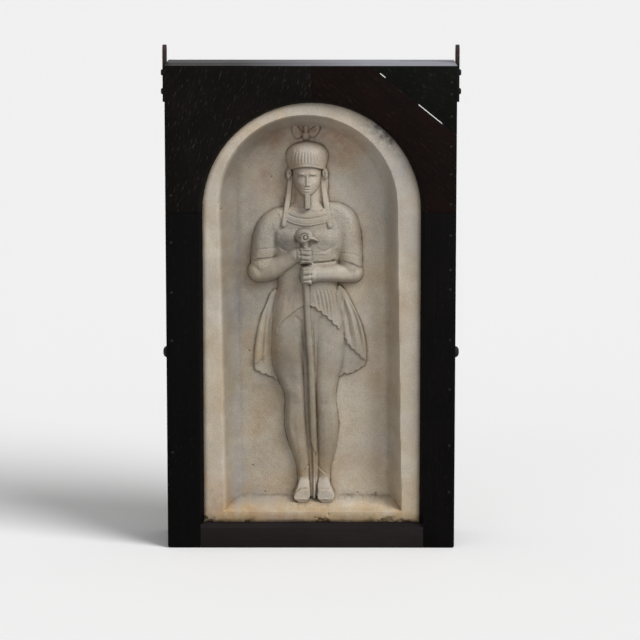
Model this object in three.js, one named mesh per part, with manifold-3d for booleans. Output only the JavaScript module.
// A marble niche carving in an ebonised wooden case, in millimetres.
// A standing figure with a staff is carved in one block with the arched niche behind it.
// +Z is up, the niche faces -Y, and the origin is on the floor under the middle of the case.
import * as THREE from 'three';
import { mergeVertices } from 'three/addons/utils/BufferGeometryUtils.js';
import Module from 'manifold-3d';

const wasm = await Module();
wasm.setup();

// Wooden case
const caseWidth = 368;
const caseHeight = 620;
const caseDepth = 104;
const boardThickness = 18;
const sideThickness = 15;
const topThickness = 9;
const sillHeight = 31;
const chamferWidth = 4.5;
const chamferDepth = 10;
const headJointX = 1;
const boardGap = 0.3;

// Arched opening in the front boards, which the marble fills
const openingCentreX = 1;
const openingHalf = 138.7;
const openingSpringZ = 434;
const openingArcSteps = 36;

// Broken top corner: where the split leaves the top edge and the side, and its two open stretches
const splitTop = new THREE.Vector2(75.8, caseHeight);
const splitSide = new THREE.Vector2(184, 532.6);
const splitOpenings = [{ from: 15, length: 9.5 }, { from: 77.5, length: 40 }];
const splitOpenWidth = 1.7;

// Marble block
const marbleClearance = 0.5;
const marbleRecess = 10;
const marbleThickness = 75;
const nicheDepth = 45;
const nicheLean = -0.0165;
const nicheLeanZ = 263;
const nicheFront = { centreX: -1.3, half: 114, springZ: 443, baseZ: 46 };
const nicheBack = { centreX: 1.5, half: 93.5, springZ: 443, baseZ: 58 };
const nicheSteps = 6;
const nicheArcSteps = 28;
const nicheCove = 0.5;
const rootDepth = 3;

// Iron fittings
const nailRadius = 1.8;
const nailProud = 0.6;
const nailInset = 7;
const rightNailHeights = [73, 134, 207, 271, 336, 361, 405, 445, 483, 518, 556, 584, 599];
const leftNailHeights = [125, 270, 332, 396, 456];
const strapThickness = 5;
const strapWidth = 18;
const strapRise = 22.4;
const strapBelow = 50;
const strapHoleRadius = 4.3;
const strapBehindFront = 60;
const screwRadius = 4;
const screwProud = 2.5;
const screwDrops = [13, 37];
const boltHeight = 248;
const boltRadius = 7.5;
const boltProud = 6.5;
const boltShank = 4;

// Planes worked out from the sizes above
const frontY = -(caseDepth - nailProud) / 2;
const rearY = frontY + caseDepth;
const boardBackY = frontY + boardThickness;
const marbleFrontY = frontY + marbleRecess;
const marbleRearY = marbleFrontY + marbleThickness;
const groundY = marbleFrontY + nicheDepth;
const halfWidth = caseWidth / 2;
const strapY = frontY + strapBehindFront;
const boltY = (marbleFrontY + marbleRearY) / 2;

const marble = new THREE.MeshStandardMaterial({ color: 0xb3a58f, roughness: 0.75, metalness: 0 });
const blackWood = new THREE.MeshStandardMaterial({ color: 0x191919, roughness: 0.5, metalness: 0 });
const brownWood = new THREE.MeshStandardMaterial({ color: 0x1f1815, roughness: 0.5, metalness: 0 });
const rustyIron = new THREE.MeshStandardMaterial({ color: 0x453d3b, roughness: 0.6, metalness: 0.8 });
const blackIron = new THREE.MeshStandardMaterial({ color: 0x141414, roughness: 0.5, metalness: 0.6 });

// Solids

function solidOf(geometry) {
  const bare = geometry.clone();
  bare.deleteAttribute('normal');
  bare.deleteAttribute('uv');
  const merged = mergeVertices(bare, 1e-4);
  const vertProperties = merged.attributes.position.array;
  const triVerts = new Uint32Array(merged.index.array);
  return new wasm.Manifold(new wasm.Mesh({ numProp: 3, vertProperties, triVerts }));
}

function geometryOf(solid) {
  const made = solid.getMesh();
  const geometry = new THREE.BufferGeometry();
  geometry.setAttribute('position', new THREE.BufferAttribute(made.vertProperties, 3));
  geometry.setIndex(new THREE.BufferAttribute(made.triVerts, 1));
  geometry.computeVertexNormals();
  return geometry;
}

function union(solids) {
  return solids.reduce((whole, next) => whole.add(next));
}

// A closed skin through rings that have the same number of points, with a fan over each end.
function loft(rings) {
  const count = rings[0].length;
  const points = rings.flat();
  const faces = [];
  for (let r = 0; r + 1 < rings.length; r += 1) {
    for (let i = 0; i < count; i += 1) {
      const a = r * count + i;
      const b = r * count + ((i + 1) % count);
      faces.push(a, b, b + count, a, b + count, a + count);
    }
  }
  for (const end of [0, rings.length - 1]) {
    const middle = points.length;
    const sum = rings[end].reduce((total, p) => total.add(p), new THREE.Vector3());
    points.push(sum.divideScalar(count));
    for (let i = 0; i < count; i += 1) {
      const a = end * count + i;
      const b = end * count + ((i + 1) % count);
      faces.push(...(end === 0 ? [middle, b, a] : [middle, a, b]));
    }
  }
  const geometry = new THREE.BufferGeometry().setFromPoints(points);
  geometry.setIndex(faces);
  const solid = solidOf(geometry);
  if (solid.volume() > 0) return solid;
  geometry.setIndex(faces.reverse());
  return solidOf(geometry);
}

// An outline in X and Z, given depth from one Y to another.
function slab(outline, fromY, toY) {
  const shape = new THREE.Shape(outline);
  const depth = toY - fromY;
  const geometry = new THREE.ExtrudeGeometry(shape, { depth, bevelEnabled: false, curveSegments: 12 });
  geometry.rotateX(Math.PI / 2);
  geometry.translate(0, toY, 0);
  return solidOf(geometry);
}

function rectangle(left, bottom, right, top) {
  return [
    new THREE.Vector2(left, bottom),
    new THREE.Vector2(right, bottom),
    new THREE.Vector2(right, top),
    new THREE.Vector2(left, top),
  ];
}

// Points round an arch-topped outline, from its lower left corner.
function archOutline({ centreX, half, springZ, baseZ }, arcSteps) {
  const outline = [new THREE.Vector2(centreX - half, baseZ), new THREE.Vector2(centreX + half, baseZ)];
  for (let i = 0; i <= arcSteps; i += 1) {
    const turn = (Math.PI * i) / arcSteps;
    outline.push(new THREE.Vector2(centreX + half * Math.cos(turn), springZ + half * Math.sin(turn)));
  }
  return outline;
}

function ringAt(outline, y, lean = 0) {
  return outline.map((p) => new THREE.Vector3(p.x + lean * (p.y - nicheLeanZ), y, p.y));
}

// Wooden case

// The opening through the front boards, widened by the chamfer towards the front.
function openingCutter() {
  const inner = {
    centreX: openingCentreX,
    half: openingHalf,
    springZ: openingSpringZ,
    baseZ: sillHeight,
  };
  const outer = { ...inner, half: openingHalf + chamferWidth, baseZ: sillHeight - chamferWidth };
  const narrow = archOutline(inner, openingArcSteps);
  const wide = archOutline(outer, openingArcSteps);
  return loft([
    ringAt(wide, frontY - 1),
    ringAt(wide, frontY),
    ringAt(narrow, frontY + chamferDepth),
    ringAt(narrow, boardBackY + 1),
  ]);
}

// Everything on the corner's side of the split, with the two stretches where the joint stands open.
function cornerRegion(grow) {
  const along = splitSide.clone().sub(splitTop).normalize();
  const across = new THREE.Vector2(-along.y, along.x);
  const start = splitTop.clone().addScaledVector(along, -40).addScaledVector(across, -grow);
  const end = splitSide.clone().addScaledVector(along, 40).addScaledVector(across, -grow);
  const far = [end, start].map((point) => point.clone().addScaledVector(across, 200));
  const outline = [start, end, ...far];
  return slab(outline, frontY - 1, boardBackY + 1);
}

function splitGaps() {
  const along = splitSide.clone().sub(splitTop).normalize();
  const across = new THREE.Vector2(-along.y, along.x);
  const gaps = splitOpenings.map(({ from, length }) => {
    const start = splitTop.clone().addScaledVector(along, from);
    const end = start.clone().addScaledVector(along, length);
    const outline = [
      start.clone().addScaledVector(across, -splitOpenWidth),
      end.clone().addScaledVector(across, -splitOpenWidth),
      end.clone().addScaledVector(across, boardGap),
      start.clone().addScaledVector(across, boardGap),
    ];
    return slab(outline, frontY - 1, boardBackY + 1);
  });
  return union(gaps);
}

function frontBoards() {
  const opening = openingCutter();
  const railHalf = openingHalf + chamferWidth;
  const railLeft = openingCentreX - railHalf;
  const railRight = openingCentreX + railHalf;
  const board = (outline) => slab(outline, frontY, boardBackY).subtract(opening);
  const stile = (outer, railEnd, inner) => [
    new THREE.Vector2(outer, 0),
    new THREE.Vector2(railEnd, 0),
    new THREE.Vector2(railEnd, sillHeight),
    new THREE.Vector2(inner, sillHeight),
    new THREE.Vector2(inner, openingSpringZ - boardGap),
    new THREE.Vector2(outer, openingSpringZ - boardGap),
  ];
  const rightHead = board(rectangle(headJointX + boardGap, openingSpringZ, halfWidth, caseHeight));
  return {
    left_head_board: board(rectangle(-halfWidth, openingSpringZ, headJointX, caseHeight)),
    right_head_board: rightHead.subtract(cornerRegion(boardGap)).subtract(splitGaps()),
    broken_corner: rightHead.intersect(cornerRegion(0)),
    left_stile: board(stile(-halfWidth, railLeft - boardGap, openingCentreX)),
    right_stile: board(stile(halfWidth, railRight + boardGap, openingCentreX)),
    bottom_rail: board(rectangle(railLeft, 0, railRight, sillHeight - boardGap)),
  };
}

function caseBoards() {
  const inner = halfWidth - sideThickness;
  const startY = boardBackY + boardGap;
  const sideTop = caseHeight - topThickness - boardGap;
  return {
    left_side: slab(rectangle(-halfWidth, 0, -inner, sideTop), startY, rearY),
    right_side: slab(rectangle(inner, 0, halfWidth, sideTop), startY, rearY),
    top_board: slab(rectangle(-halfWidth, caseHeight - topThickness, halfWidth, caseHeight), startY, rearY),
    bottom_board: slab(rectangle(-inner + boardGap, 0, inner - boardGap, sillHeight), startY, rearY),
  };
}

// Marble figure. A station is [x, z, half width, height of its shoulder, rise of its round front],
// with heights measured forward from the flat back of the niche. Its sides run straight down to that back.

function stationRing([x, z, half, middle, rise], acrossX, acrossZ, sides) {
  const point = (side, y) => new THREE.Vector3(x + acrossX * side, y, z + acrossZ * side);
  const ring = [point(-half, groundY + rootDepth), point(half, groundY + rootDepth)];
  for (let i = 0; i <= sides; i += 1) {
    const turn = (Math.PI * i) / sides;
    ring.push(point(half * Math.cos(turn), groundY - middle - rise * Math.sin(turn)));
  }
  return ring;
}

// A limb through its stations, each ring square to the way that the limb runs.
function limb(stations, sides = 9) {
  const rings = stations.map((station, i) => {
    const before = stations[Math.max(i - 1, 0)];
    const after = stations[Math.min(i + 1, stations.length - 1)];
    const run = new THREE.Vector2(after[0] - before[0], after[1] - before[1]).normalize();
    return stationRing(station, -run.y, run.x, sides);
  });
  return loft(rings);
}

function boss(x, z, halfX, halfZ, middle, rise, sides = 8) {
  const stations = [-0.97, -0.75, -0.3, 0.3, 0.75, 0.97].map((t) => {
    const swell = Math.sqrt(1 - t * t);
    return [x, z + halfZ * t, halfX * swell, middle, rise * swell];
  });
  return limb(stations, sides);
}

const torso = [
  [-6, 446, 12, 2, 14], [-6, 439, 24, 2, 17], [-6, 431, 42, 3, 18], [-6, 420, 52, 3, 20],
  [-6, 404, 54, 3, 22],
  [-5, 382, 50, 2, 22], [-5, 352, 42, 1, 20], [-4, 328, 39, 0, 20], [-4, 305, 45, 0, 21],
  [-3, 280, 47, 0, 21],
  [-3, 262, 38, 0, 18], [-2, 250, 16, 0, 12],
];
const leftLeg = [
  [-24, 300, 14, 0, 16], [-28, 284, 20, 0, 22], [-30, 258, 21, 0, 25], [-29, 231, 21, 0, 25],
  [-25, 211, 17, 0, 23],
  [-20.5, 190, 12.6, 0, 21], [-19.7, 166, 13.2, 0, 19], [-18.9, 145, 14, 0, 19], [-15.2, 128, 12.8, 0, 18],
  [-12, 113, 10.2, 0, 16], [-9.6, 97, 8, 0, 15], [-9.1, 72, 7, 0, 15],
];
const rightLeg = [
  [19, 300, 14, 0, 16], [22, 284, 20, 0, 22], [23.5, 258, 20.5, 0, 25], [21.8, 231, 18.4, 0, 25],
  [19.2, 211, 15, 0, 23],
  [18, 190, 12.8, 0, 21], [20, 166, 13.4, 0, 19], [20.8, 147, 13.9, 0, 19], [20, 129, 12.5, 0, 18],
  [18.4, 113, 11, 0, 16], [16.4, 98, 8.7, 0, 15], [16, 72, 7.8, 0, 15],
];
const leftUpperArm = [
  [-34, 433, 5, 4, 12], [-46, 426, 11, 6, 14], [-55, 414, 15, 8, 16], [-59, 398, 15, 9, 16],
  [-61, 376, 14.6, 10, 16], [-62, 370, 15, 10, 16], [-64, 352, 12, 8, 14],
];
const rightUpperArm = [
  [23, 434, 5, 4, 12], [35, 428, 11, 6, 14], [44, 415, 15, 8, 16], [47.5, 398, 15, 9, 16],
  [49.5, 374, 14.6, 10, 16], [50, 367, 15, 10, 16], [50, 352, 12, 8, 14],
];
const leftForearm = [
  [-70, 349, 11, 10, 12], [-64, 351, 14, 11, 15], [-50, 356, 13.6, 15, 15], [-38, 362, 12.4, 19, 14],
  [-22, 370, 10.2, 22, 12],
];
const rightForearm = [
  [60, 351, 11, 10, 12], [52, 351, 14, 11, 15], [38, 348.5, 12.6, 15, 15], [24, 348.5, 11, 19, 14],
  [4, 350, 10.5, 22, 12],
];
const leftLappet = [
  [-26, 472, 3.4, 12, 6], [-29, 446, 3.8, 12, 9], [-33, 424, 4.2, 16, 9], [-35.5, 411, 4.2, 18, 8],
];
const rightLappet = [
  [18, 472, 3.4, 12, 6], [18, 446, 3.8, 12, 9], [21.5, 424, 4.2, 16, 9], [24.3, 409, 4.2, 18, 8],
];
const staff = [[-7, 384, 5, 20, 10], [-4, 280, 5, 20, 9], [0, 200, 5, 18, 9], [3, 131, 5, 16, 9]];
const brokenStaff = [[3.4, 132, 3.1, 15, 8], [4, 60, 3.1, 14, 8]];
const neck = [[-5.5, 468, 13, 4, 15], [-5.5, 430, 15, 4, 17]];
const beard = [[-4.6, 456, 2.8, 22, 12], [-4.3, 434.5, 3.4, 22, 12]];

function headParts() {
  const face = [
    [-5, 494, 18, 6, 20], [-5, 482, 19, 7, 22], [-5, 470, 18.4, 8, 23], [-5, 460, 14.5, 9, 23],
    [-5, 453, 8.5, 10, 21],
  ];
  const nose = [[-5, 477, 2, 28, 3], [-5, 470, 3, 30, 4.5], [-5, 466.5, 3.4, 29, 4]];
  const cap = [
    [-4.5, 483, 20, 8, 23], [-4.5, 490, 25, 8, 24], [-4.5, 503, 28, 8, 24], [-4.5, 512, 25.5, 8, 22],
    [-4.5, 518, 17, 8, 16],
  ];
  const ears = [-28, 18].map((x) => boss(x, 477.5, 4.2, 7.5, 12, 6, 6));
  const lappets = [leftLappet, rightLappet].map((stations) => limb(stations, 5));
  return [limb(face), limb(nose, 5), limb(cap, 12), limb(neck), limb(beard, 3), ...lappets, ...ears];
}

// A broad collar: two bands that sag from shoulder to shoulder.
function collarParts() {
  const bands = [{ z: 426, half: 5, rise: 5 }, { z: 417, half: 4.6, rise: 4 }];
  return bands.map(({ z, half, rise }) => {
    const stations = [-1, -0.5, 0, 0.5, 1].map(
      (t) => [-5.5 + 25 * t, z + 6 * t * t, half, 20 - 2 * t * t, rise],
    );
    return limb(stations, 5);
  });
}

// A closed hand: the back of the hand, and its fingers stacked round the staff.
function handParts({ knuckleX, tipX, topZ, bottomZ, height }) {
  const fingers = 4;
  const pitch = (topZ - bottomZ) / fingers;
  const reach = tipX - knuckleX;
  const middleZ = (topZ + bottomZ) / 2;
  const parts = [boss(knuckleX - 0.35 * reach, middleZ, 8, topZ - middleZ, height - 8, 9)];
  for (let i = 0; i < fingers; i += 1) {
    const z = topZ - pitch * (i + 0.5);
    const stations = [[-0.35, 0.8], [0.15, 1], [0.6, 1], [1, 0.75]].map(
      ([t, swell]) => [knuckleX + reach * t, z, 0.56 * pitch * swell, height - 8 - 4 * t * t, 8 * swell],
    );
    parts.push(limb(stations, 5));
  }
  return parts;
}

function footParts() {
  const feet = [{ ankleX: -9.1, toeX: -13 }, { ankleX: 16, toeX: 19 }];
  return feet.map(({ ankleX, toeX }) => limb([
    [ankleX, 80, 7.2, 6, 10], [ankleX, 74, 8, 10, 12], [toeX, 64, 10.4, 16, 16],
    [toeX, 56, 11.4, 18, 20], [toeX, 50, 9.4, 18, 20],
  ]));
}

// The bird-headed top of the staff: a crest behind, an eye and a beak to the right.
function staffHeadParts() {
  return [
    boss(-9.5, 399, 12, 12, 26, 12),
    boss(-14, 405, 8, 7, 28, 8, 6),
    boss(-6.5, 398.5, 2.6, 2.6, 36, 3, 6),
    limb([[-3, 397, 5, 28, 7], [4, 395.5, 3.4, 28, 5], [8.5, 393, 1.4, 27, 3]], 6),
  ];
}

// Cloth that falls in folds behind the thighs, and the front hem that parts over them.
function drapeParts() {
  const folds = [
    [[-42, 326, 5, 1, 8], [-50, 300, 8, 2, 8], [-56, 262, 9, 1, 8], [-54, 215, 9, 1, 6]],
    [[-47, 322, 4, 1, 6], [-58, 298, 6, 1, 7], [-65, 262, 7.5, 0, 7], [-66, 222, 8, 0, 6]],
    [[-38, 300, 8, 2, 8], [-44, 262, 9, 1, 8], [-43, 210, 6, 0, 6]],
    [[36, 328, 5, 1, 10], [43, 300, 8, 2, 11], [47, 262, 9, 2, 9], [47, 219, 9, 1, 6]],
    [[42, 322, 4, 1, 7], [52, 296, 7, 1, 8], [58, 262, 8, 1, 8], [62, 228, 8, 0, 7]],
    [[32, 300, 8, 2, 8], [38, 262, 8, 1, 8], [37, 213, 5, 0, 6]],
  ];
  const hems = [
    [[-6, 309, 1.8, 19, 4], [-27, 299, 2, 19, 5], [-42, 280, 2, 12, 6], [-50, 258, 2, 5, 5]],
    [[-1, 310, 1.8, 19, 4], [10, 303, 2, 20, 5], [29, 287, 2, 20, 6], [40, 270, 2, 14, 6],
      [46, 250, 2, 8, 5]],
  ];
  return [...folds.map((fold) => limb(fold, 6)), ...hems.map((hem) => limb(hem, 5))];
}

// Winged disc in low relief over the head.
function emblemParts() {
  const wing = (side) => {
    const feathers = [[2, 524, 2, 2.4], [9, 529, 4.4, 2.6], [15, 538, 3.4, 2.2], [18, 544, 1, 1.6]];
    return limb(feathers.map(([out, z, half, rise]) => [-6.4 + out * side, z, half, 0, rise]), 5);
  };
  return [boss(-6.4, 527, 5.4, 5.8, 0, 3.4, 8), boss(-6.4, 537, 2.4, 5, 0, 2.4, 5), wing(-1), wing(1)];
}

// The niche is scooped out behind its front edge in a cove that runs into the flat back.
function nicheHollow() {
  const rings = [ringAt(archOutline(nicheFront, nicheArcSteps), marbleFrontY - 30, nicheLean)];
  for (let i = 0; i <= nicheSteps; i += 1) {
    const depth = i / nicheSteps;
    const inset = (1 - nicheCove) * depth + nicheCove * (1 - Math.sqrt(1 - depth * depth));
    const between = {};
    for (const key of Object.keys(nicheFront)) {
      between[key] = THREE.MathUtils.lerp(nicheFront[key], nicheBack[key], inset);
    }
    rings.push(ringAt(archOutline(between, nicheArcSteps), marbleFrontY + nicheDepth * depth, nicheLean));
  }
  return loft(rings);
}

function marbleRelief() {
  const edge = {
    centreX: openingCentreX,
    half: openingHalf - marbleClearance,
    springZ: openingSpringZ,
    baseZ: sillHeight + marbleClearance,
  };
  const block = slab(archOutline(edge, openingArcSteps), marbleFrontY, marbleRearY).subtract(nicheHollow());
  const limbs = [leftLeg, rightLeg, leftUpperArm, rightUpperArm, leftForearm, rightForearm];
  const figure = union([
    limb(torso, 12),
    ...limbs.map((stations) => limb(stations)),
    ...headParts(),
    ...collarParts(),
    ...handParts({ knuckleX: -15, tipX: 4, topZ: 389, bottomZ: 363, height: 40 }),
    ...handParts({ knuckleX: 0, tipX: -16, topZ: 361, bottomZ: 337, height: 40 }),
    ...footParts(),
    ...staffHeadParts(),
    limb(staff, 6),
    limb(brokenStaff, 5),
    ...drapeParts(),
    ...emblemParts(),
  ]);
  const front = slab(rectangle(-100, 40, 100, 560), marbleFrontY - 5, marbleRearY - 10);
  return block.add(figure.intersect(front));
}

// Iron fittings

// A turned dome that stands out along +Z from a flat foot, with an optional shank behind it.
function dome(radius, proud, segments, shank) {
  const profile = [new THREE.Vector2(0, proud)];
  for (let i = 1; i <= 4; i += 1) {
    const turn = (Math.PI * i) / 8;
    profile.unshift(new THREE.Vector2(radius * Math.sin(turn), proud * Math.cos(turn)));
  }
  if (shank) {
    profile.unshift(new THREE.Vector2(shank.radius, 0));
    profile.unshift(new THREE.Vector2(shank.radius, -shank.length));
  }
  profile.unshift(new THREE.Vector2(0, shank ? -shank.length : 0));
  const geometry = new THREE.LatheGeometry(profile, segments);
  geometry.rotateX(Math.PI / 2);
  return geometry;
}

function addFitting(group, name, geometry, material, position, towards) {
  const mesh = new THREE.Mesh(geometry, material);
  mesh.name = name;
  mesh.position.copy(position);
  mesh.quaternion.setFromUnitVectors(new THREE.Vector3(0, 0, 1), towards);
  group.add(mesh);
}

function addNails(group) {
  const out = new THREE.Vector3(0, -1, 0);
  const rows = [
    { side: 'left', x: -halfWidth + nailInset, heights: leftNailHeights },
    { side: 'right', x: halfWidth - nailInset, heights: rightNailHeights },
  ];
  for (const { side, x, heights } of rows) {
    heights.forEach((z, i) => {
      const place = new THREE.Vector3(x, frontY, z);
      addFitting(group, `${side}_nail_${i + 1}`, dome(nailRadius, nailProud, 8), blackIron, place, out);
    });
  }
}

// A hanging strap screwed to the side, its round eye standing above the top.
function strapGeometry() {
  const half = strapWidth / 2;
  const eyeZ = caseHeight + strapRise - half;
  const shape = new THREE.Shape();
  shape.moveTo(-half, caseHeight - strapBelow);
  shape.lineTo(half, caseHeight - strapBelow);
  shape.lineTo(half, eyeZ);
  shape.absarc(0, eyeZ, half, 0, Math.PI, false);
  shape.closePath();
  const hole = new THREE.Path();
  hole.absarc(0, eyeZ, strapHoleRadius, 0, 2 * Math.PI, true);
  shape.holes.push(hole);
  const settings = { depth: strapThickness, bevelEnabled: false, curveSegments: 10 };
  const geometry = new THREE.ExtrudeGeometry(shape, settings);
  geometry.rotateX(Math.PI / 2);
  geometry.rotateZ(Math.PI / 2);
  return geometry;
}

function addSideFittings(group) {
  const boltGeometry = () => {
    const length = halfWidth - openingCentreX - openingHalf + marbleClearance - boardGap;
    return dome(boltRadius, boltProud, 16, { radius: boltShank, length });
  };
  for (const [side, sign] of [['left', -1], ['right', 1]]) {
    const out = new THREE.Vector3(sign, 0, 0);
    const strap = new THREE.Mesh(strapGeometry(), rustyIron);
    strap.name = `${side}_hanging_strap`;
    strap.position.set(sign > 0 ? halfWidth : -halfWidth - strapThickness, strapY, 0);
    group.add(strap);
    screwDrops.forEach((drop, i) => {
      const place = new THREE.Vector3(sign * (halfWidth + strapThickness), strapY, caseHeight - drop);
      const screw = dome(screwRadius, screwProud, 12);
      addFitting(group, `${side}_strap_screw_${i + 1}`, screw, rustyIron, place, out);
    });
    const boltPlace = new THREE.Vector3(sign * halfWidth, boltY, boltHeight);
    addFitting(group, `${side}_side_bolt`, boltGeometry(), blackIron, boltPlace, out);
  }
}

// Each side board has a hole for the shank of its bolt.
function boredSide(board, sign) {
  const radius = boltShank + boardGap;
  const drill = new THREE.CylinderGeometry(radius, radius, 4 * sideThickness, 16);
  drill.rotateZ(Math.PI / 2);
  drill.translate(sign * (halfWidth - sideThickness / 2), boltY, boltHeight);
  return board.subtract(solidOf(drill));
}

const nicheCarving = new THREE.Group();

function addSolid(name, solid, material) {
  const mesh = new THREE.Mesh(geometryOf(solid), material);
  mesh.name = name;
  nicheCarving.add(mesh);
}

const boards = { ...frontBoards(), ...caseBoards() };
boards.left_side = boredSide(boards.left_side, -1);
boards.right_side = boredSide(boards.right_side, 1);
for (const [name, solid] of Object.entries(boards)) {
  addSolid(name, solid, name.endsWith('head_board') ? brownWood : blackWood);
}
addSolid('marble_relief', marbleRelief(), marble);
addNails(nicheCarving);
addSideFittings(nicheCarving);

export default nicheCarving;
